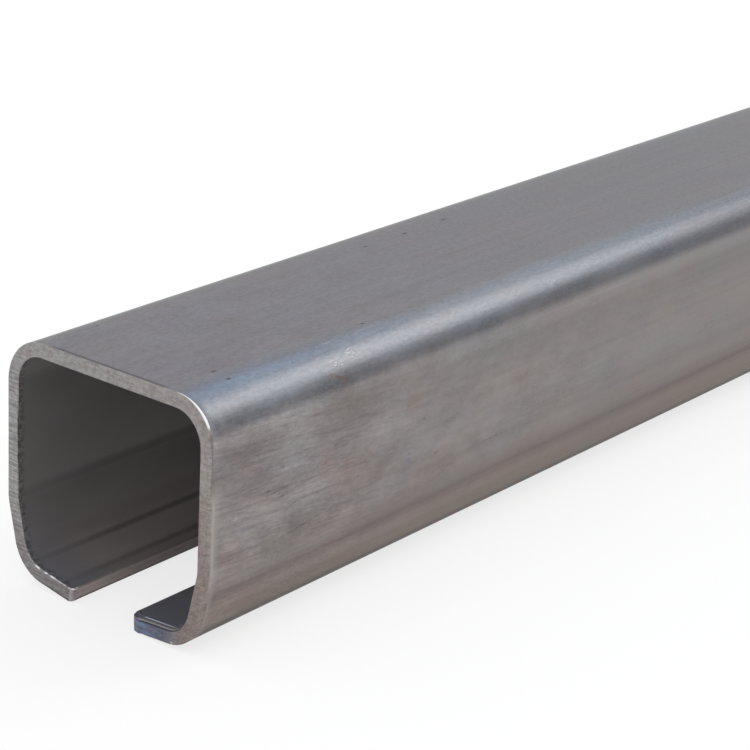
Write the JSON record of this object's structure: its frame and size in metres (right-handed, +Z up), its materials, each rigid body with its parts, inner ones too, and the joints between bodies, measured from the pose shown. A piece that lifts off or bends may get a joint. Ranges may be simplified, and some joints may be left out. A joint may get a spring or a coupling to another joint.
{
  "type": "running rail profile",
  "caption": "Roll-formed steel channel rail with rounded corners, leaning lower walls and inward lips, open below through a trolley slot.",
  "frame": {"origin": "centre of the bounding box's bottom face: on the middle line of the slot, level with the lowest edge of the lips, halfway along the rail", "axes": "+X along the rail, +Y across it, +Z up, away from the slot; the rail stands on its two lips, slot down"},
  "size_m": [2, 0.094, 0.085],
  "materials": {
    "rolled_steel": "satin mill finish, uncoated, faintly streaked along the rail"
  },
  "bodies": {
    "root": {"running_rail": "rolled_steel"}
  },
  "joints": []
}
